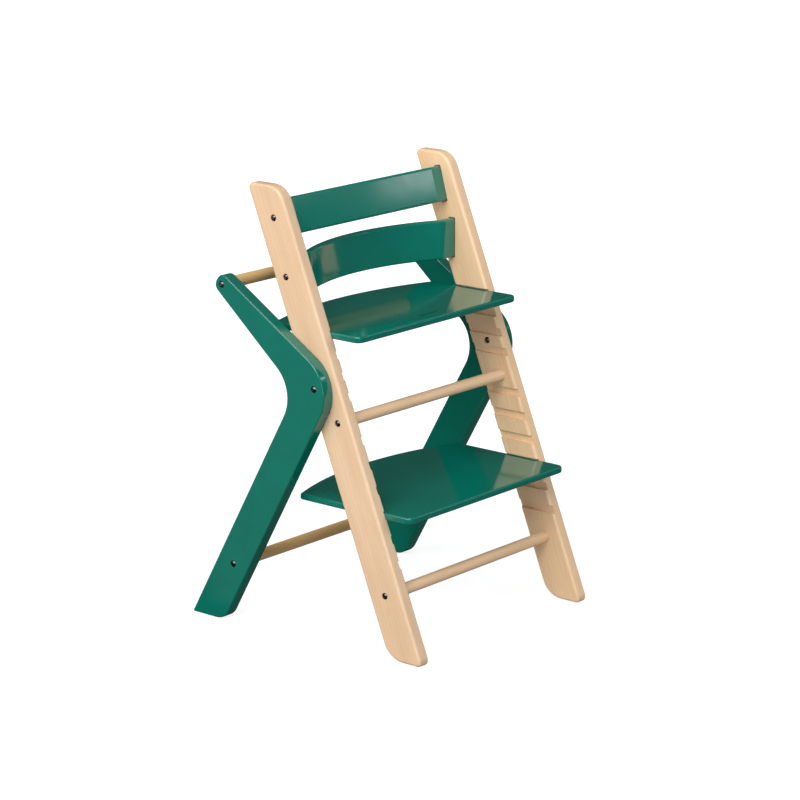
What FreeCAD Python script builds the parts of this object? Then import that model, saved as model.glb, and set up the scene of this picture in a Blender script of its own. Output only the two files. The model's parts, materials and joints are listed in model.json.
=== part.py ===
"""Wooden growing high chair for a child, with height-adjustable seat and footrest boards.

Two leaning beech uprights carry two back slats near the top and have level grooves on their inner faces.
The seat board and the footrest board slide in those grooves.  An elbow-shaped rear leg is bolted to the
outside of each upright at its elbow.  Two round rungs tie the uprights and two tie the rear legs.

Millimetres.  +Z is up, the child faces -Y, and X runs across the chair.  The origin is on the floor,
under the centre of the chair.
"""
import FreeCAD
import Part
import math
import os

Vector = FreeCAD.Vector

# ---------------------------------------------------------------- driving dimensions
HEIGHT = 800.0                  # floor to the top of the uprights
DEPTH = 512.0                   # toe of the uprights to heel of the rear legs
OUTER_HALF_WIDTH = 240.0        # centre plane to the outer face of an upright
UPRIGHT_THICKNESS = 25.0
UPRIGHT_WIDTH = 70.0            # across the grain, in the side view
UPRIGHT_LEAN = 21.75            # degrees back from vertical
UPRIGHT_EDGE_RADIUS = 5.0
UPRIGHT_TOE_HEIGHT = 12.0       # the toe is cut upright to this height
UPRIGHT_TOE_RADIUS = 11.0
UPRIGHT_SOLE_RADIUS = 6.5       # between the toe and the sole
UPRIGHT_HEEL_RADIUS = 45.0
UPRIGHT_CREST_RADIUS = 40.0     # front of the top
UPRIGHT_NAPE_RADIUS = 9.0      # rear of the top

LEG_THICKNESS = 25.0
LEG_WIDTH = 68.2                # of the lower arm, in the side view
LEG_LOWER_LEAN = 29.3           # degrees forward from vertical, foot to elbow
LEG_REAR_LEAN = 49.4            # degrees back from vertical, rear edge of the upper arm
LEG_FRONT_LEAN = 57.9           # and its front edge: the arm narrows to its tip
LEG_TIP_REAR_REACH = 15.8       # top rung's axis to the rear edge
LEG_TIP_FRONT_REACH = 17.6
LEG_TIP_CAP_REACH = 14.0
LEG_TIP_RADIUS = 14.0
LEG_ELBOW_INNER_RADIUS = 67.0
LEG_ELBOW_OUTER_RADIUS = 74.0
LEG_TOE_RADIUS = 34.0
LEG_HEEL_RADIUS = 1.5
LEG_EDGE_RADIUS = 2.5

RUNG_DIAMETER = 21.0
RUNG_SOCKET_DEPTH = 8.0

BOARD_THICKNESS = 12.0
BOARD_EDGE_RADIUS = 3.5
BOARD_REAR_CORNER_RADIUS = 4.0
BOARD_REAR_RADIUS = 600.0       # of the bowed rear edge, in plan
SEAT = dict(top=555.4, front_y=-105.2, length=236.5, corner_radius=14.0)
FOOTREST = dict(top=254.4, front_y=-218.2, length=293.0, corner_radius=15.0)
STRAP_SLOT_LENGTH = 57.0
STRAP_SLOT_WIDTH = 5.0
STRAP_SLOT_SETBACK = 27.5       # front edge of the seat to the middle of the slot

GROOVE_DEPTH = 5.5
GROOVE_HEIGHT = 14.5
BOARD_REST_GAP = 0.15           # under a board, where it slides on its groove
BOARD_SIDE_GAP = 0.3
SEAT_GROOVE_PITCH = 34.8
SEAT_GROOVES = 4                # the seat lies in the highest
FOOTREST_GROOVE_PITCH = 41.4
FOOTREST_GROOVES_ABOVE = 3      # free grooves over the one that the footrest lies in
FOOTREST_GROOVES_BELOW = 2

SLAT_THICKNESS = 15.0
SLAT_TAB_LENGTH = 24.0          # flat end that shows beside each upright
SLAT_BEND_RADIUS = 40.0         # between a flat end and the curved middle
SLAT_EDGE_RADIUS = 4.5
UPPER_SLAT = dict(low_y=54.5, low_z=711.6, lean=15.6, height=65.6, sagitta=5.5, bolt_rise=35.5)
LOWER_SLAT = dict(low_y=36.5, low_z=608.0, lean=0.0, height=72.2, sagitta=45.0, bolt_rise=35.7)
MORTISE_DEPTH = 5.0             # in an upright, for a slat's end
MORTISE_SIDE_GAP = 0.4          # in front of and behind the slat's end
MORTISE_END_GAP = 1.5           # over and under it
MORTISE_CORNER_RADIUS = 3.0

BOLT_DIAMETER = 6.0
BOLT_HEAD_DIAMETER = 12.0
BOLT_HEAD_HEIGHT = 3.6
BOLT_SOCKET_ACROSS_FLATS = 4.0
BOLT_SOCKET_DEPTH = 2.2
BOLT_END_GAP = 2.0              # free bore beyond the end of a bolt
COUNTERBORE_DIAMETER = 12.6
COUNTERBORE_DEPTH = 1.2
INSERT_DIAMETER = 9.0
INSERT_LENGTH = 16.0
BARREL_NUT_DIAMETER = 10.0
BARREL_NUT_BLIND = 2.5          # wood left in front of a barrel nut
BARREL_NUT_INSET = 0.4          # below the slat's rear face
SLEEVE_DIAMETER = 8.0
SLEEVE_LENGTH = 21.0
PIN_DIAMETER = 8.0
PIN_LENGTH = 30.0
PIN_REACHES = (-27.0, 21.0)     # along the upright from the elbow bolt

OVERCUT = 1.0                   # how far a cutter runs past the face it opens

# places in the side view (y, z)
ELBOW_BOLT = (-40.1, 462.3)
MIDDLE_RUNG = (-72.4, 402.5)
FOOT_RUNG = (-177.9, 113.3)
REAR_TOP_RUNG = (172.8, 617.1)
REAR_FOOT_RUNG = (154.8, 110.0)

# ---------------------------------------------------------------- worked out
INNER_HALF_WIDTH = OUTER_HALF_WIDTH - UPRIGHT_THICKNESS
LEG_OUTER = OUTER_HALF_WIDTH + LEG_THICKNESS
BOARD_HALF_WIDTH = INNER_HALF_WIDTH + GROOVE_DEPTH - BOARD_SIDE_GAP
SLAT_HALF_LENGTH = INNER_HALF_WIDTH + MORTISE_DEPTH
BARREL_NUT_X = INNER_HALF_WIDTH - SLAT_TAB_LENGTH / 2
LEAN = math.radians(UPRIGHT_LEAN)
BOARD_LEVELS = [SEAT["top"] - i * SEAT_GROOVE_PITCH for i in range(SEAT_GROOVES)]
BOARD_LEVELS += [FOOTREST["top"] + i * FOOTREST_GROOVE_PITCH
                 for i in range(-FOOTREST_GROOVES_BELOW, FOOTREST_GROOVES_ABOVE + 1)]

PARTS = {}


def rounded_outline(corners, x=0.0):
    """A closed wire in the plane X = x through corners (y, z, radius), each rounded to its radius."""
    points = [Vector(x, y, z) for y, z, _ in corners]
    ends = []
    for i, (_, _, radius) in enumerate(corners):
        here, before, after = points[i], points[i - 1], points[(i + 1) % len(points)]
        back = (before - here).normalize()
        ahead = (after - here).normalize()
        half = back.getAngle(ahead) / 2
        reach = radius / math.tan(half)
        middle = here + (back + ahead).normalize() * (radius / math.sin(half) - radius)
        ends.append((here + back * reach, middle, here + ahead * reach, radius))
    edges = []
    for i, (start, middle, end, radius) in enumerate(ends):
        if radius > 0:
            edges.append(Part.Arc(start, middle, end).toShape())
        following = ends[(i + 1) % len(ends)][0]
        if (following - end).Length > 1e-6:
            edges.append(Part.LineSegment(end, following).toShape())
    return Part.Wire(edges)


def meet(point_a, direction_a, point_b, direction_b):
    """Where two lines of the side view cross."""
    (ay, az), (uy, uz) = point_a, direction_a
    (by, bz), (vy, vz) = point_b, direction_b
    t = ((by - ay) * vz - (bz - az) * vy) / (uy * vz - uz * vy)
    return ay + t * uy, az + t * uz


def lean_direction(degrees):
    """Unit vector of the side view that leans back from vertical by that angle."""
    angle = math.radians(degrees)
    return math.sin(angle), math.cos(angle)


def slab(outline, thickness):
    return Part.Face(outline).extrude(Vector(thickness, 0, 0))


def soften_rim(solid, radius, faces_at, axis="x"):
    """Rounds every edge that lies in the planes axis = each value of faces_at."""
    index = "xyz".index(axis)
    chosen = []
    for edge in solid.Edges:
        box = edge.BoundBox
        low = (box.XMin, box.YMin, box.ZMin)[index]
        high = (box.XMax, box.YMax, box.ZMax)[index]
        if any(abs(low - value) < 1e-4 and abs(high - value) < 1e-4 for value in faces_at):
            chosen.append(edge)
    return solid.makeFillet(radius, chosen)


def rod(y, z, x_low, x_high, diameter):
    """A cylinder along X."""
    return Part.makeCylinder(diameter / 2, x_high - x_low, Vector(x_low, y, z), Vector(1, 0, 0))


def mirrored(shape):
    return shape.mirror(Vector(0, 0, 0), Vector(1, 0, 0))


def add_sides(name, shape):
    """A piece on the child's left (+X) and its mirror image on the right, as two nodes."""
    PARTS["left_" + name] = shape
    PARTS["right_" + name] = mirrored(shape)


def add_fasteners(name, *shapes):
    """Fasteners on the left and their mirror images, as one node of separate solids."""
    PARTS[name] = Part.makeCompound(list(shapes) + [mirrored(shape) for shape in shapes])


# ---------------------------------------------------------------- uprights
def upright_front_y(z):
    """The upright's front edge at a height, above its toe."""
    return -DEPTH / 2 + (z - UPRIGHT_TOE_HEIGHT) * math.tan(LEAN)


def upright_rear_y(z):
    return upright_front_y(z) + UPRIGHT_WIDTH / math.cos(LEAN)


def groove_cutter(level):
    """Space of one groove in the left upright, for a board whose top is at that level."""
    corner = Vector(INNER_HALF_WIDTH - OVERCUT, -DEPTH / 2, level - BOARD_THICKNESS - BOARD_REST_GAP)
    return Part.makeBox(GROOVE_DEPTH + OVERCUT, DEPTH, GROOVE_HEIGHT, corner)


def mortise_cutter(slat):
    """Shallow pocket in the left upright's inner face for the end of a slat."""
    y, z = slat["low_y"], slat["low_z"]
    corner = Vector(INNER_HALF_WIDTH - OVERCUT, y - MORTISE_SIDE_GAP, z - MORTISE_END_GAP)
    length = MORTISE_DEPTH + OVERCUT
    pocket = Part.makeBox(length, SLAT_THICKNESS + 2 * MORTISE_SIDE_GAP,
                          slat["height"] + 2 * MORTISE_END_GAP, corner)
    along_x = [edge for edge in pocket.Edges if abs(edge.BoundBox.XLength - length) < 1e-4]
    pocket = pocket.makeFillet(MORTISE_CORNER_RADIUS, along_x)
    pocket.rotate(Vector(0, y, z), Vector(1, 0, 0), -slat["lean"])
    return pocket


def bolt_hole(place, face_x, depth):
    """Counterbored hole for a bolt whose head sits near X = face_x, on the left side."""
    shank = rod(*place, face_x - depth, face_x, BOLT_DIAMETER)
    return shank.fuse(rod(*place, face_x - COUNTERBORE_DEPTH, face_x + OVERCUT, COUNTERBORE_DIAMETER))


def rung_socket(place, wall_x):
    """Blind hole for the left end of a rung, in a member whose inner face is at X = wall_x."""
    return rod(*place, wall_x - OVERCUT, wall_x + RUNG_SOCKET_DEPTH, RUNG_DIAMETER)


def sleeve_nut_hole():
    """Hole in the left upright for the elbow bolt, counterbored for its nut on the inner face."""
    x = INNER_HALF_WIDTH - OVERCUT
    hole = rod(*ELBOW_BOLT, x, OUTER_HALF_WIDTH + OVERCUT, BOLT_DIAMETER)
    hole = hole.fuse(rod(*ELBOW_BOLT, x, INNER_HALF_WIDTH + SLEEVE_LENGTH, SLEEVE_DIAMETER))
    return hole.fuse(rod(*ELBOW_BOLT, x, INNER_HALF_WIDTH + COUNTERBORE_DEPTH, COUNTERBORE_DIAMETER))


def make_left_upright():
    outline = rounded_outline([
        (-DEPTH / 2, UPRIGHT_TOE_HEIGHT, UPRIGHT_TOE_RADIUS),
        (-DEPTH / 2, 0, UPRIGHT_SOLE_RADIUS),
        (upright_rear_y(0), 0, UPRIGHT_HEEL_RADIUS),
        (upright_rear_y(HEIGHT), HEIGHT, UPRIGHT_NAPE_RADIUS),
        (upright_front_y(HEIGHT), HEIGHT, UPRIGHT_CREST_RADIUS),
    ], INNER_HALF_WIDTH)
    body = soften_rim(slab(outline, UPRIGHT_THICKNESS), UPRIGHT_EDGE_RADIUS,
                      (INNER_HALF_WIDTH, OUTER_HALF_WIDTH))
    cuts = [groove_cutter(level) for level in BOARD_LEVELS]
    for slat in (UPPER_SLAT, LOWER_SLAT):
        cuts.append(mortise_cutter(slat))
        cuts.append(bolt_hole(slat_axis(slat), OUTER_HALF_WIDTH, UPRIGHT_THICKNESS))
    for place in (MIDDLE_RUNG, FOOT_RUNG):
        cuts.append(rung_socket(place, INNER_HALF_WIDTH))
        cuts.append(bolt_hole(place, OUTER_HALF_WIDTH, UPRIGHT_THICKNESS))
    cuts.append(sleeve_nut_hole())
    cuts += [locating_pin(place) for place in pin_places()]
    return body.cut(cuts)


# ---------------------------------------------------------------- back slats
def slat_point(slat, along, behind):
    """Side-view point of a slat: along its height from the low edge, and behind its front face."""
    uy, uz = lean_direction(slat["lean"])
    return slat["low_y"] + along * uy + behind * uz, slat["low_z"] + along * uz - behind * uy


def slat_axis(slat):
    """The line of the slat's two bolts, in the middle of its thickness."""
    return slat_point(slat, slat["bolt_rise"], SLAT_THICKNESS / 2)


def slat_line(slat, offset):
    """One long face of a slat in plan, at an offset behind the front face, as edges from right to left.

    A flat end, a short reverse bend, the curved middle, a bend and a flat end, each tangent to the next.
    """
    y, z, sagitta = slat["low_y"], slat["low_z"], slat["sagitta"]
    shoulder = INNER_HALF_WIDTH - SLAT_TAB_LENGTH
    centres = (shoulder ** 2 + sagitta ** 2) / (2 * sagitta)
    middle = Vector(0, y + sagitta - (centres - SLAT_BEND_RADIUS), z)
    main_radius = centres - SLAT_BEND_RADIUS + offset
    bend_radius = SLAT_BEND_RADIUS - offset

    def side(sign):
        bend = Vector(sign * shoulder, y + SLAT_BEND_RADIUS, z)
        inward = (middle - bend).normalize()
        start = bend - Vector(0, bend_radius, 0)
        half_way = (inward + Vector(0, -1, 0)).normalize()
        end = Vector(sign * SLAT_HALF_LENGTH, y + offset, z)
        return end, start, bend + half_way * bend_radius, bend + inward * bend_radius

    left, right = side(1), side(-1)
    crown = middle + Vector(0, main_radius, 0)
    return [Part.LineSegment(right[0], right[1]).toShape(),
            Part.Arc(right[1], right[2], right[3]).toShape(),
            Part.Arc(right[3], crown, left[3]).toShape(),
            Part.Arc(left[3], left[2], left[1]).toShape(),
            Part.LineSegment(left[1], left[0]).toShape()]


def make_slat(slat):
    """A bent board: flat ends, and a middle that curves back by the sagitta."""
    y, z = slat["low_y"], slat["low_z"]
    ends = [Part.LineSegment(Vector(x, y, z), Vector(x, y + SLAT_THICKNESS, z)).toShape()
            for x in (-SLAT_HALF_LENGTH, SLAT_HALF_LENGTH)]
    edges = slat_line(slat, 0) + slat_line(slat, SLAT_THICKNESS) + ends
    wire = Part.Wire(Part.__sortEdges__(edges))
    solid = Part.Face(wire).extrude(Vector(0, 0, slat["height"]))
    solid = soften_rim(solid, SLAT_EDGE_RADIUS, (z, z + slat["height"]), "z")
    solid.rotate(Vector(0, y, z), Vector(1, 0, 0), -slat["lean"])
    bolt_y, bolt_z = slat_axis(slat)
    deepest = BARREL_NUT_X - BARREL_NUT_DIAMETER / 2 - BOLT_END_GAP
    bore = rod(bolt_y, bolt_z, deepest, SLAT_HALF_LENGTH + OVERCUT, BOLT_DIAMETER)
    nut = barrel_nut_blank(slat, SLAT_THICKNESS)
    return solid.cut([bore, nut, mirrored(bore), mirrored(nut)])


def barrel_nut_blank(slat, length):
    """A cylinder across the left end of a slat, from the depth of the nut's blind end backwards."""
    y, z = slat_point(slat, slat["bolt_rise"], BARREL_NUT_BLIND)
    uy, uz = lean_direction(slat["lean"])
    return Part.makeCylinder(BARREL_NUT_DIAMETER / 2, length, Vector(BARREL_NUT_X, y, z), Vector(0, uz, -uy))


def make_barrel_nut(slat):
    nut = barrel_nut_blank(slat, SLAT_THICKNESS - BARREL_NUT_BLIND - BARREL_NUT_INSET)
    reach = BARREL_NUT_DIAMETER
    return nut.cut(rod(*slat_axis(slat), BARREL_NUT_X - reach, BARREL_NUT_X + reach, BOLT_DIAMETER))


# ---------------------------------------------------------------- rear legs
def leg_outline():
    """Corners of the leg's side view: heel, up the rear edge to the tip, and down the front edge."""
    lean = math.radians(LEG_LOWER_LEAN)
    lost_to_rounding = LEG_HEEL_RADIUS * ((1 + math.sin(lean)) / math.cos(lean) - 1)
    heel = (DEPTH / 2 + lost_to_rounding, 0.0)
    toe = (heel[0] - LEG_WIDTH / math.cos(lean), 0.0)
    rise = lean_direction(-LEG_LOWER_LEAN)
    rear = lean_direction(LEG_REAR_LEAN)
    front = lean_direction(LEG_FRONT_LEAN)
    arm = lean_direction((LEG_REAR_LEAN + LEG_FRONT_LEAN) / 2)
    y, z = REAR_TOP_RUNG
    on_rear = (y + LEG_TIP_REAR_REACH * rear[1], z - LEG_TIP_REAR_REACH * rear[0])
    on_front = (y - LEG_TIP_FRONT_REACH * front[1], z + LEG_TIP_FRONT_REACH * front[0])
    on_cap = (y + LEG_TIP_CAP_REACH * arm[0], z + LEG_TIP_CAP_REACH * arm[1])
    across = (arm[1], -arm[0])
    return [(*heel, LEG_HEEL_RADIUS),
            (*meet(heel, rise, on_rear, rear), LEG_ELBOW_INNER_RADIUS),
            (*meet(on_rear, rear, on_cap, across), LEG_TIP_RADIUS),
            (*meet(on_front, front, on_cap, across), LEG_TIP_RADIUS),
            (*meet(toe, rise, on_front, front), LEG_ELBOW_OUTER_RADIUS),
            (*toe, LEG_TOE_RADIUS)]


def pin_places():
    up = lean_direction(UPRIGHT_LEAN)
    return [(ELBOW_BOLT[0] + reach * up[0], ELBOW_BOLT[1] + reach * up[1]) for reach in PIN_REACHES]


def locating_pin(place):
    """A wooden pin, half in the left upright and half in its rear leg."""
    return rod(*place, OUTER_HALF_WIDTH - PIN_LENGTH / 2, OUTER_HALF_WIDTH + PIN_LENGTH / 2, PIN_DIAMETER)


def make_left_leg():
    body = slab(rounded_outline(leg_outline(), OUTER_HALF_WIDTH), LEG_THICKNESS)
    body = soften_rim(body, LEG_EDGE_RADIUS, (OUTER_HALF_WIDTH, LEG_OUTER))
    cuts = [bolt_hole(ELBOW_BOLT, LEG_OUTER, LEG_THICKNESS + OVERCUT)]
    for place in (REAR_TOP_RUNG, REAR_FOOT_RUNG):
        cuts.append(rung_socket(place, OUTER_HALF_WIDTH))
        cuts.append(bolt_hole(place, LEG_OUTER, LEG_THICKNESS))
    cuts += [locating_pin(place) for place in pin_places()]
    return body.cut(cuts)


# ---------------------------------------------------------------- rungs
def make_rung(place, wall_x):
    """A round rung between two members whose inner faces are at X = +-wall_x, bored for its inserts."""
    half = wall_x + RUNG_SOCKET_DEPTH
    bore = rod(*place, half - INSERT_LENGTH, half + OVERCUT, INSERT_DIAMETER)
    return rod(*place, -half, half, RUNG_DIAMETER).cut([bore, mirrored(bore)])


def make_insert(place, wall_x):
    """The left threaded insert of a rung, flush with the rung's end."""
    half = wall_x + RUNG_SOCKET_DEPTH
    sleeve = rod(*place, half - INSERT_LENGTH, half, INSERT_DIAMETER)
    return sleeve.cut(rod(*place, half - INSERT_LENGTH - OVERCUT, half + OVERCUT, BOLT_DIAMETER))


# ---------------------------------------------------------------- boards
def make_board(board):
    """A board with straight sides, rounded front corners and a rear edge that bows back."""
    half = BOARD_HALF_WIDTH
    low = board["top"] - BOARD_THICKNESS
    front_y = board["front_y"]
    rear_y = front_y + board["length"]
    side_y = rear_y - BOARD_REAR_RADIUS + math.sqrt(BOARD_REAR_RADIUS ** 2 - half ** 2)
    corners = [Vector(-half, side_y, low), Vector(-half, front_y, low),
               Vector(half, front_y, low), Vector(half, side_y, low)]
    edges = [Part.LineSegment(a, b).toShape() for a, b in zip(corners, corners[1:])]
    edges.append(Part.Arc(corners[3], Vector(0, rear_y, low), corners[0]).toShape())
    solid = Part.Face(Part.Wire(edges)).extrude(Vector(0, 0, BOARD_THICKNESS))
    for y, radius in ((front_y, board["corner_radius"]), (side_y, BOARD_REAR_CORNER_RADIUS)):
        corner_edges = [e for e in solid.Edges
                        if abs(e.BoundBox.ZLength - BOARD_THICKNESS) < 1e-4
                        and abs(e.BoundBox.Center.y - y) < 1e-3]
        solid = solid.makeFillet(radius, corner_edges)
    return soften_rim(solid, BOARD_EDGE_RADIUS, (low, board["top"]), "z")


def make_seat():
    """The seat board, with a slot for a crotch strap near its front edge."""
    y = SEAT["front_y"] + STRAP_SLOT_SETBACK
    low = SEAT["top"] - BOARD_THICKNESS - OVERCUT
    height = BOARD_THICKNESS + 2 * OVERCUT
    half = (STRAP_SLOT_LENGTH - STRAP_SLOT_WIDTH) / 2
    cuts = [Part.makeBox(2 * half, STRAP_SLOT_WIDTH, height, Vector(-half, y - STRAP_SLOT_WIDTH / 2, low))]
    cuts += [Part.makeCylinder(STRAP_SLOT_WIDTH / 2, height, Vector(x, y, low)) for x in (-half, half)]
    return make_board(SEAT).cut(cuts)


# ---------------------------------------------------------------- fasteners
def button_head(place, seat_x, outwards=1):
    """A domed head with a socket.  It bears at X = seat_x and stands towards +X, or -X if outwards is -1."""
    y, z = place
    half = BOLT_HEAD_DIAMETER / 2
    dome_radius = (half ** 2 + BOLT_HEAD_HEIGHT ** 2) / (2 * BOLT_HEAD_HEIGHT)
    dome = Part.makeSphere(dome_radius, Vector(BOLT_HEAD_HEIGHT - dome_radius, y, z))
    head = dome.common(rod(y, z, 0, BOLT_HEAD_HEIGHT + OVERCUT, BOLT_HEAD_DIAMETER + OVERCUT))
    across_corners = BOLT_SOCKET_ACROSS_FLATS / math.cos(math.pi / 6)
    corners = [Vector(BOLT_HEAD_HEIGHT - BOLT_SOCKET_DEPTH,
                      y + across_corners / 2 * math.cos(math.pi / 3 * i),
                      z + across_corners / 2 * math.sin(math.pi / 3 * i)) for i in range(7)]
    socket = Part.Face(Part.makePolygon(corners)).extrude(Vector(BOLT_SOCKET_DEPTH + OVERCUT, 0, 0))
    head = head.cut(socket)
    if outwards < 0:
        head = mirrored(head)
    head.translate(Vector(seat_x, 0, 0))
    return head


def make_bolt(place, seat_x, length):
    """A socket bolt on the left side, whose head bears at X = seat_x."""
    shank = rod(*place, seat_x - length, seat_x, BOLT_DIAMETER)
    return shank.fuse(button_head(place, seat_x)).removeSplitter()


def make_sleeve_nut():
    """Nut of the elbow bolt: a sleeve in the upright, with a head on the inner face like the bolts' own."""
    seat_x = INNER_HALF_WIDTH + COUNTERBORE_DEPTH
    sleeve = rod(*ELBOW_BOLT, seat_x, INNER_HALF_WIDTH + SLEEVE_LENGTH, SLEEVE_DIAMETER)
    bore = rod(*ELBOW_BOLT, seat_x, INNER_HALF_WIDTH + SLEEVE_LENGTH + OVERCUT, BOLT_DIAMETER)
    return sleeve.cut(bore).fuse(button_head(ELBOW_BOLT, seat_x, -1)).removeSplitter()


# ---------------------------------------------------------------- assembly
def build():
    add_sides("upright", make_left_upright())
    add_sides("rear_leg", make_left_leg())
    PARTS["seat_board"] = make_seat()
    PARTS["footrest_board"] = make_board(FOOTREST)

    wall_left = UPRIGHT_THICKNESS - COUNTERBORE_DEPTH - RUNG_SOCKET_DEPTH
    rung_bolt_length = wall_left + INSERT_LENGTH - BOLT_END_GAP
    for name, place, wall_x in (("middle_rung", MIDDLE_RUNG, INNER_HALF_WIDTH),
                                ("foot_rung", FOOT_RUNG, INNER_HALF_WIDTH),
                                ("rear_top_rung", REAR_TOP_RUNG, OUTER_HALF_WIDTH),
                                ("rear_foot_rung", REAR_FOOT_RUNG, OUTER_HALF_WIDTH)):
        PARTS[name] = make_rung(place, wall_x)
        seat_x = wall_x + UPRIGHT_THICKNESS - COUNTERBORE_DEPTH
        add_fasteners(name + "_inserts", make_insert(place, wall_x))
        add_fasteners(name + "_bolts", make_bolt(place, seat_x, rung_bolt_length))

    slat_seat_x = OUTER_HALF_WIDTH - COUNTERBORE_DEPTH
    slat_bolt_length = slat_seat_x - BARREL_NUT_X + BARREL_NUT_DIAMETER / 2
    for name, slat in (("upper_slat", UPPER_SLAT), ("lower_slat", LOWER_SLAT)):
        PARTS[name] = make_slat(slat)
        add_fasteners(name + "_barrel_nuts", make_barrel_nut(slat))
        add_fasteners(name + "_bolts", make_bolt(slat_axis(slat), slat_seat_x, slat_bolt_length))

    elbow_seat_x = LEG_OUTER - COUNTERBORE_DEPTH
    elbow_bolt_length = elbow_seat_x - INNER_HALF_WIDTH - COUNTERBORE_DEPTH - BOLT_END_GAP
    add_fasteners("elbow_bolts", make_bolt(ELBOW_BOLT, elbow_seat_x, elbow_bolt_length))
    add_fasteners("elbow_sleeve_nuts", make_sleeve_nut())
    add_fasteners("locating_pins", *[locating_pin(place) for place in pin_places()])


def write():
    os.makedirs("parts", exist_ok=True)
    for name, shape in sorted(PARTS.items()):
        if not shape.isValid():
            raise ValueError(name + " isn't a valid shape")
        shape.exportStep(os.path.join("parts", name + ".step"))


build()
write()
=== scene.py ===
"""Looks of the child's growing high chair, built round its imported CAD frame.

Every piece of the chair is a CAD node.  This script gives each of them its material, and makes the
camera, the lights and the floor.  Metres, in the frame's own axes.
"""

import json
import math

import bpy
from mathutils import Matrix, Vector


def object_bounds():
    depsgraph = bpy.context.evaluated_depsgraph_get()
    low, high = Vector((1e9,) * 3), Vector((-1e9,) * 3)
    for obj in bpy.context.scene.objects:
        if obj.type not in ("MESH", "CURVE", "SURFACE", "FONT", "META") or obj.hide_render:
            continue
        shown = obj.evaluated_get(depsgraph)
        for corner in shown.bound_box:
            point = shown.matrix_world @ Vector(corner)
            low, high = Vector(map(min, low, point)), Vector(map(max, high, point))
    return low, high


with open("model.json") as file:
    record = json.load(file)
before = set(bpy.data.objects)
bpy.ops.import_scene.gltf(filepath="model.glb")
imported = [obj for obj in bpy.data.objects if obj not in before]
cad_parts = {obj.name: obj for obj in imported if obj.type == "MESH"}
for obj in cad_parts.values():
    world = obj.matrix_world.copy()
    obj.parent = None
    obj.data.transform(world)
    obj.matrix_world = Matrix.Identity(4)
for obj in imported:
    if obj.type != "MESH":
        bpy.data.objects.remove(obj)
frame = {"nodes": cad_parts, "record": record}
cad_low, cad_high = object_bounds()
nodes = frame["nodes"]

# ---------------------------------------------------------------- camera and stage
CAMERA_AZIMUTH = math.radians(-50.14)   # 0 looks along +Y
CAMERA_ELEVATION = math.radians(14.48)
CAMERA_AIM = Vector((0.0042, -0.0083, 0.3855))
CAMERA_DISTANCE = 5.247
CAMERA_LENS = 131.6
CAMERA_SENSOR = 36.0
CAMERA_CLIPS = (0.1, 500.0)

FLOOR_SIZE = 120.0
FLOOR_DROP = 0.0004                     # keeps the floor just clear of the feet
FLOOR_GREY = 0.35                       # its own colour, which shadows darken
FLOOR_GLOW = 0.82                       # so that the floor is white where nothing shades it
FLOOR_GLOW_REACHES = (0.5, 3.5)         # the glow grows to full between these distances

# the light that comes from no soft box: strengths, and heights and sides of directions of length one
ROOM_GLOW = 0.22                        # soft light from every direction
GROUND_GLOW = 0.32                      # and more from the floor on the side that GROUND_SIDE points to
GROUND_SIDE = (-0.8, 0.6, 0.0)
GROUND_SIDE_SPAN = (-0.2, 0.6)          # along GROUND_SIDE, where that glow grows to full
HORIZON_BLUR = 0.1
SKY_NEAR = 0.02                         # what the lacquer mirrors on GROUND_SIDE's side
SKY_FAR = 0.07                          # and on the other side
SKY_SIDE_SPAN = (-0.6, 0.0)             # along GROUND_SIDE, where it goes from SKY_FAR to SKY_NEAR
SKY_HIGH = 0.2                          # and overhead
SKY_RISE_START = 0.35                   # height of a direction at which the change to overhead starts
WHITE = (1.0, 1.0, 1.0, 1.0)
FRONT_TINT = (0.98, 1.08, 1.22)         # the bluer light on the chair's front

# ---------------------------------------------------------------- chair
# how a piece is turned so that its grain runs along Z: the uprights lean back, the rungs lie along X
ALONG_UPRIGHT = (math.radians(21.75), 0, 0)
ALONG_RUNG = (0, math.radians(90), 0)

# ---------------------------------------------------------------- materials' figures
NOISE_SPAN = (0.3, 0.7)                 # the range that most of a noise covers
RINGS_PER_METRE = 420.0
RING_WANDER = 0.012                     # metres
RING_SHARPNESS = 2.2
BEECH_SCALES = dict(wander=(9.0, 9.0, 1.6), fibre=(900.0, 900.0, 22.0), fleck=(1300.0, 1300.0, 140.0),
                    cloud=(26.0, 26.0, 3.5))
FLECK_SPAN = (0.64, 0.72)               # the tips of a noise that become flecks
BEECH_SHADES = dict(ring=0.20, fibre=0.26, cloud=0.46, fleck=0.45)
BEECH_ROUGHNESS = 0.32
PIN_ROUGHNESS = 0.6
FIBRE_BUMP = (0.10, 0.0002)             # each bump is a strength and a height in metres
FLECK_BUMP = (0.12, 0.0002)
BEECH_SPECULAR = 0.45
LACQUER_SCALES = dict(cloud=22.0, speck=900.0, peel=260.0)
LACQUER_SHARES = dict(cloud=0.7, speck=0.3)
LACQUER_ROUGHNESS = (0.08, 0.12)
PEEL_BUMP = (0.05, 0.0003)
SPECK_BUMP = (0.04, 0.0001)
LACQUER_IOR = 1.6
LACQUER_SPECULAR = 0.62
METAL_SCALES = dict(patch=420.0, fine=2600.0)
WORN_SPAN = (0.45, 0.75)
TURNING_BUMP = (0.12, 0.00005)


def rgb(red, green, blue):
    """A linear colour with full alpha."""
    return (red, green, blue, 1.0)


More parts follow.
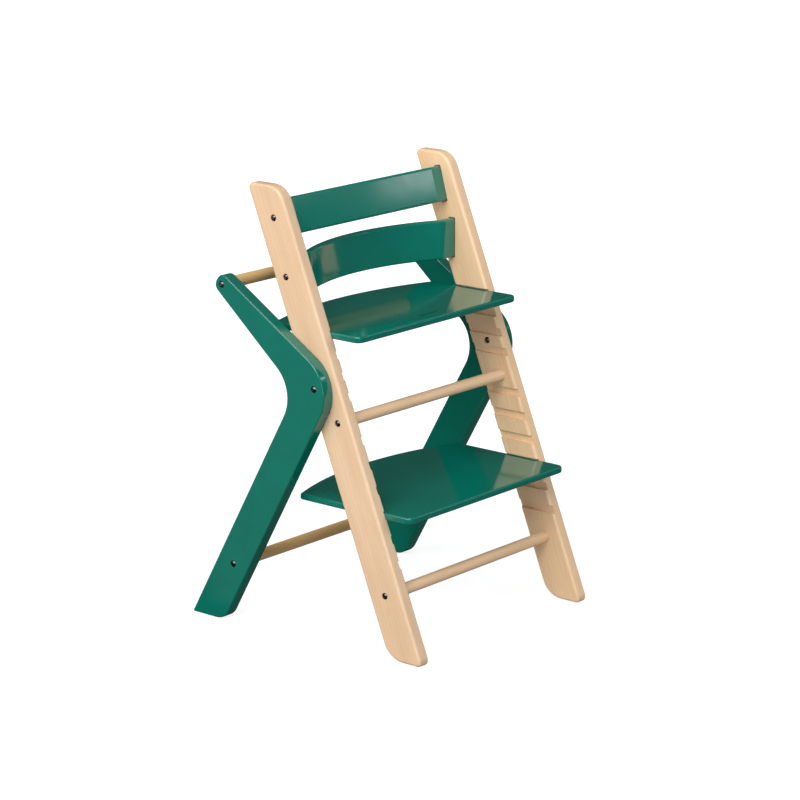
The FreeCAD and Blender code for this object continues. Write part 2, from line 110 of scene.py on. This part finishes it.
# two tones each: a pale and a dark one of a wood or a lacquer, a plain and a worn one of a metal
PLAIN_BEECH = (rgb(0.79, 0.575, 0.385), rgb(0.62, 0.385, 0.215))
# brighter and warmer than PLAIN_BEECH; on the left upright it is painted light, the warm bounce light on its
# shaded inner face
WARM_BEECH = (rgb(0.91, 0.645, 0.41), rgb(0.73, 0.455, 0.24))
# a deeper, more saturated beech for the rear rungs: a painted shade, the warm shadow they lie in
AMBER_PAINTED_SHADE_BEECH = (rgb(0.82, 0.53, 0.25), rgb(0.64, 0.38, 0.14))
GREEN = (rgb(0.0012, 0.158, 0.113), rgb(0.001, 0.140, 0.098))
# a lighter copy of GREEN for the slats: painted light, the extra light they catch
SLAT_GREEN_PAINTED_LIGHT = (rgb(0.0012, 0.182, 0.132), rgb(0.001, 0.162, 0.115))
BLACK_OXIDE = (rgb(0.11, 0.10, 0.105), rgb(0.26, 0.24, 0.23))
ZINC = (rgb(0.60, 0.60, 0.58), rgb(0.46, 0.46, 0.45))


def direction(azimuth, elevation):
    """Unit vector from the chair towards a viewer or a light at that azimuth and elevation."""
    return Vector((math.sin(azimuth) * math.cos(elevation),
                   -math.cos(azimuth) * math.cos(elevation),
                   math.sin(elevation)))


# ---------------------------------------------------------------- node helpers
class Nodes:
    """A node tree, with short calls for the nodes used here."""

    def __init__(self, tree):
        self.tree = tree

    def link(self, source, target):
        """Links an output to an input, or sets the input to a plain value."""
        if isinstance(source, bpy.types.NodeSocket):
            self.tree.links.new(source, target)
        else:
            target.default_value = source

    def node(self, kind, **inputs):
        """Adds a node; inputs are given by name, with _ for a space."""
        made = self.tree.nodes.new(kind)
        for name, value in inputs.items():
            self.link(value, made.inputs[name.replace("_", " ")])
        return made

    def mapped(self, vector, rotation=(0, 0, 0), scale=(1, 1, 1), location=(0, 0, 0)):
        """The vector turned, then stretched, then moved."""
        turned = self.node("ShaderNodeMapping", Vector=vector, Rotation=rotation)
        return self.node("ShaderNodeMapping", Vector=turned.outputs[0], Scale=scale,
                         Location=location).outputs[0]

    def noise(self, vector, scale, detail=2.0, roughness=0.5):
        """Noise from 0 to 1."""
        return self.node("ShaderNodeTexNoise", Vector=vector, Scale=scale, Detail=detail,
                         Roughness=roughness).outputs[0]

    def math(self, operation, a, b=0.0, clamp=False):
        """One arithmetic step."""
        step = self.tree.nodes.new("ShaderNodeMath")
        step.operation = operation
        step.use_clamp = clamp
        self.link(a, step.inputs[0])
        self.link(b, step.inputs[1])
        return step.outputs[0]

    def vector(self, operation, a, b=None):
        """One step of vector arithmetic, as its node."""
        step = self.tree.nodes.new("ShaderNodeVectorMath")
        step.operation = operation
        self.link(a, step.inputs[0])
        if b is not None:
            step.inputs[1].default_value = b
        return step

    def blend(self, share, a, b):
        """Value b instead of a by that share."""
        return self.node("ShaderNodeMix", Factor=share, A=a, B=b).outputs["Result"]

    def spread(self, value, low, high, to_low=0.0, to_high=1.0):
        """The value taken from one range to another, held at its ends."""
        return self.node("ShaderNodeMapRange", Value=value, From_Min=low, From_Max=high,
                         To_Min=to_low, To_Max=to_high).outputs[0]

    def mix(self, share, a, b):
        """Colour b over colour a by that share."""
        step = self.tree.nodes.new("ShaderNodeMix")
        step.data_type = "RGBA"
        self.link(share, step.inputs[0])
        self.link(a, step.inputs[6])
        self.link(b, step.inputs[7])
        return step.outputs[2]

    def bump(self, height, strength, distance, under=None):
        """A bump, over an earlier one if it is given."""
        made = self.node("ShaderNodeBump", Height=height, Strength=strength, Distance=distance)
        if under is not None:
            self.link(under, made.inputs["Normal"])
        return made.outputs[0]


class Shader(Nodes):
    """A new material with its Principled surface."""

    def __init__(self, name):
        self.material = bpy.data.materials.new(name)
        self.material.use_nodes = True
        super().__init__(self.material.node_tree)
        self.surface = self.tree.nodes["Principled BSDF"]

    def coordinates(self):
        """Places in the frame's own metres: each CAD node's object sits at the origin."""
        return self.tree.nodes.new("ShaderNodeTexCoord").outputs["Object"]

    def set(self, **inputs):
        """Links or sets inputs of the surface; they are given by name, with _ for a space."""
        for name, value in inputs.items():
            self.link(value, self.surface.inputs[name.replace("_", " ")])


# ---------------------------------------------------------------- materials
def beech(name, tones, rotation, pith, roughness=BEECH_ROUGHNESS):
    """Lacquered beech whose grain runs along Z after the rotation, with growth rings round a line near it."""
    s = Shader(name)
    along = s.mapped(s.coordinates(), rotation=rotation, location=pith)

    def grain(what, **texture):
        return s.noise(s.mapped(along, scale=BEECH_SCALES[what]), 1.0, **texture)

    # growth rings: distance from the pith, waved by a slow noise along the grain
    wander = grain("wander", detail=3.0)
    from_pith = s.vector("LENGTH", s.vector("MULTIPLY", along, (1.0, 1.0, 0.0)).outputs[0])
    radius = s.math("ADD", from_pith.outputs["Value"], s.math("MULTIPLY", wander, RING_WANDER))
    phase = s.math("FRACT", s.math("MULTIPLY", radius, RINGS_PER_METRE))
    ring = s.math("POWER", phase, RING_SHARPNESS)
    # fibres, and the short dark flecks that beech shows
    fibre = grain("fibre", detail=3.0, roughness=0.6)
    fleck = s.spread(grain("fleck", detail=1.0), *FLECK_SPAN)
    cloud = grain("cloud", detail=2.0)
    shade = s.math("MULTIPLY", ring, BEECH_SHADES["ring"])
    shade = s.math("ADD", shade, s.math("MULTIPLY", s.spread(fibre, *NOISE_SPAN), BEECH_SHADES["fibre"]))
    shade = s.math("ADD", shade, s.math("MULTIPLY", s.spread(cloud, *NOISE_SPAN), BEECH_SHADES["cloud"]))
    shade = s.math("ADD", shade, s.math("MULTIPLY", fleck, BEECH_SHADES["fleck"]), clamp=True)
    relief = s.bump(fibre, *FIBRE_BUMP)
    s.set(Base_Color=s.mix(shade, *tones),
          Roughness=s.spread(fibre, 0.2, 0.8, roughness - 0.05, roughness + 0.07),
          Normal=s.bump(fleck, *FLECK_BUMP, under=relief),
          Specular_IOR_Level=BEECH_SPECULAR)
    return s.material


def lacquer(name, tones):
    """Green satin lacquer: a little uneven in colour and gloss, with a faint orange-peel surface."""
    s = Shader(name)
    place = s.coordinates()
    cloud = s.noise(place, LACQUER_SCALES["cloud"], detail=3.0, roughness=0.55)
    speck = s.noise(place, LACQUER_SCALES["speck"], detail=2.0)
    share = s.math("ADD", s.math("MULTIPLY", s.spread(cloud, *NOISE_SPAN), LACQUER_SHARES["cloud"]),
                   s.math("MULTIPLY", s.spread(speck, *NOISE_SPAN), LACQUER_SHARES["speck"]))
    peel = s.bump(s.noise(place, LACQUER_SCALES["peel"], detail=1.0), *PEEL_BUMP)
    s.set(Base_Color=s.mix(share, *tones),
          Roughness=s.spread(cloud, 0.25, 0.75, *LACQUER_ROUGHNESS),
          Normal=s.bump(speck, *SPECK_BUMP, under=peel),
          IOR=LACQUER_IOR,
          Specular_IOR_Level=LACQUER_SPECULAR)
    return s.material


def metal(name, tones, roughness):
    """Plated or oxidised steel, uneven in tone, with fine turning marks."""
    s = Shader(name)
    place = s.coordinates()
    patch = s.noise(place, METAL_SCALES["patch"], detail=3.0, roughness=0.6)
    fine = s.noise(place, METAL_SCALES["fine"], detail=2.0)
    s.set(Base_Color=s.mix(s.spread(patch, *WORN_SPAN), *tones),
          Roughness=s.spread(fine, 0.2, 0.8, roughness - 0.06, roughness + 0.10),
          Normal=s.bump(fine, *TURNING_BUMP),
          Metallic=1.0)
    return s.material


# pieces given their own copy of a material: the rear rungs' deeper beech is a painted shade, the slats'
# lighter green is painted light
rear_rung_painted_shade_wood = beech("rear_rung_beech_painted_shade", AMBER_PAINTED_SHADE_BEECH, ALONG_RUNG, pith=(0.05, 0.02, 0.3))
slat_painted_light_lacquer = lacquer("slat_green_lacquer_painted_light", SLAT_GREEN_PAINTED_LIGHT)

# materials by the record's slot, and for some nodes their own, which goes before it
BY_SLOT = {
    "bare_beech": beech("rung_beech", WARM_BEECH, ALONG_RUNG, pith=(0.03, 0.05, 0.2)),
    "pin_beech": beech("pin_beech", PLAIN_BEECH, ALONG_RUNG, pith=(0.02, 0.02, 0.1), roughness=PIN_ROUGHNESS),
    "green_lacquer": lacquer("green_lacquer", GREEN),
    "black_steel": metal("black_oxide", BLACK_OXIDE, roughness=0.20),
    "zinc_steel": metal("zinc_plate", ZINC, roughness=0.34),
}
BY_NODE = {
    # the left upright's brighter, warmer beech is painted light
    "left_upright": beech("upright_beech_left_painted_light", WARM_BEECH, ALONG_UPRIGHT, pith=(0.31, 0.05, 0.0)),
    "right_upright": beech("upright_beech_right", PLAIN_BEECH, ALONG_UPRIGHT, pith=(-0.10, 0.08, 0.4)),
    # the rear rungs' deeper beech is a painted shade
    "rear_top_rung": rear_rung_painted_shade_wood,
    "rear_foot_rung": rear_rung_painted_shade_wood,
    # the slats' lighter green is painted light
    "upper_slat": slat_painted_light_lacquer,
    "lower_slat": slat_painted_light_lacquer,
}


def set_material(node, material):
    """Gives every face of a CAD node that material."""
    node.data.materials.clear()
    node.data.materials.append(material)


for part in frame["record"]["subparts"]:
    name = part["node"]
    set_material(nodes[name], BY_NODE.get(name) or BY_SLOT[part["material_slot"]])


# ---------------------------------------------------------------- stage
def make_floor():
    """A wide, plain, nearly white floor.  It catches shadows, and the chair doesn't mirror it."""
    bpy.ops.mesh.primitive_plane_add(size=FLOOR_SIZE, location=(0, 0, cad_low.z - FLOOR_DROP))
    floor = bpy.context.object
    floor.name = "floor"
    floor.visible_diffuse = False
    floor.visible_glossy = False
    s = Shader("floor_paper")
    reach = s.vector("LENGTH", s.coordinates()).outputs["Value"]
    s.set(Base_Color=rgb(FLOOR_GREY, FLOOR_GREY, FLOOR_GREY),
          Roughness=0.9,
          Specular_IOR_Level=0.0,
          Emission_Color=WHITE,
          Emission_Strength=s.spread(reach, *FLOOR_GLOW_REACHES, FLOOR_GLOW, 1.0))
    set_material(floor, s.material)


def place_object(name, data, place, away):
    """Adds a lamp or the camera at a place, with its back to the direction away."""
    made = bpy.data.objects.new(name, data)
    made.location = place
    made.rotation_mode = "QUATERNION"
    made.rotation_quaternion = away.to_track_quat("Z", "Y")
    bpy.context.scene.collection.objects.link(made)
    return made


def make_panel(name, place, away, size, radiance, tint=(1, 1, 1)):
    """A rectangular light, as bright as that radiance, which the camera doesn't see."""
    light = bpy.data.lights.new(name, "AREA")
    light.shape = "RECTANGLE"
    light.size, light.size_y = size
    light.energy = radiance * light.size * light.size_y * math.pi
    light.color = tint
    panel = place_object(name, light, place, away)
    panel.visible_camera = False
    return panel


def make_soft_box(name, azimuth, elevation, distance, size, radiance, tint=(1, 1, 1), mirrored=True):
    """A soft box that faces the camera's aim, at those degrees round and up.

    Glossy surfaces don't mirror it if mirrored is False.
    """
    away = direction(math.radians(azimuth), math.radians(elevation))
    box = make_panel(name, CAMERA_AIM + away * distance, away, size, radiance, tint)
    box.visible_glossy = mirrored


def make_sheen_card(name, place, size, radiance):
    """A dim panel that faces +X and shows only where a glossy surface mirrors it."""
    card = make_panel(name, place, Vector((-1, 0, 0)), size, radiance)
    card.visible_diffuse = False


def make_sky():
    """Light from all round: the floor's and the room's on soft surfaces, and what glossy ones mirror."""
    world = bpy.data.worlds.new("studio")
    world.use_nodes = True
    s = Nodes(world.node_tree)
    toward = s.node("ShaderNodeTexCoord").outputs["Generated"]
    height = s.node("ShaderNodeSeparateXYZ", Vector=toward).outputs["Z"]
    side = s.vector("DOT_PRODUCT", toward, GROUND_SIDE).outputs["Value"]
    seen = s.node("ShaderNodeLightPath").outputs
    ground = s.spread(side, *GROUND_SIDE_SPAN, ROOM_GLOW, ROOM_GLOW + GROUND_GLOW)
    below = s.spread(height, -HORIZON_BLUR, HORIZON_BLUR, 1.0, 0.0)
    soft = s.blend(below, ROOM_GLOW, ground)
    low = s.spread(side, *SKY_SIDE_SPAN, SKY_FAR, SKY_NEAR)
    mirrored = s.blend(s.spread(height, SKY_RISE_START, 1.0), low, SKY_HIGH)
    strength = s.blend(seen["Is Camera Ray"], s.blend(seen["Is Glossy Ray"], soft, mirrored), 1.0)
    background = s.tree.nodes["Background"]
    s.link(strength, background.inputs["Strength"])
    s.link(WHITE, background.inputs["Color"])
    bpy.context.scene.world = world


def make_camera():
    """The photograph's view."""
    data = bpy.data.cameras.new("camera")
    data.lens = CAMERA_LENS
    data.sensor_width = CAMERA_SENSOR
    data.clip_start, data.clip_end = CAMERA_CLIPS
    away = direction(CAMERA_AZIMUTH, CAMERA_ELEVATION)
    bpy.context.scene.camera = place_object("camera", data, CAMERA_AIM + away * CAMERA_DISTANCE, away)


make_camera()
make_floor()
make_sky()
make_soft_box("key", -76, 40, distance=6.0, size=(5.0, 4.0), radiance=5.0)
make_soft_box("side", -95, 16, distance=6.0, size=(5.0, 2.6), radiance=1.4, mirrored=False)
make_soft_box("front", 10, 24, distance=6.0, size=(5.0, 1.8), radiance=3.5, tint=FRONT_TINT, mirrored=False)
make_soft_box("rear_left", -128, 38, distance=5.0, size=(1.5, 1.5), radiance=4.5)
make_soft_box("back", 150, 20, distance=6.0, size=(4.0, 3.0), radiance=2.2, mirrored=False)
make_soft_box("top", 0, 86, distance=3.2, size=(0.6, 0.6), radiance=6.0)
make_soft_box("edge", -40, 8, distance=2.0, size=(0.5, 0.9), radiance=3.5)
make_soft_box("slat_strip", 48.4, 22, distance=3.2, size=(0.11, 0.6), radiance=3.9)
make_soft_box("slat_panel", 55.0, 22, distance=3.2, size=(0.20, 0.6), radiance=0.9)
make_sheen_card("card", place=Vector((-0.64, 0.285, 0.285)), size=(0.57, 0.85), radiance=0.13)

bpy.context.scene.view_settings.view_transform = "Standard"
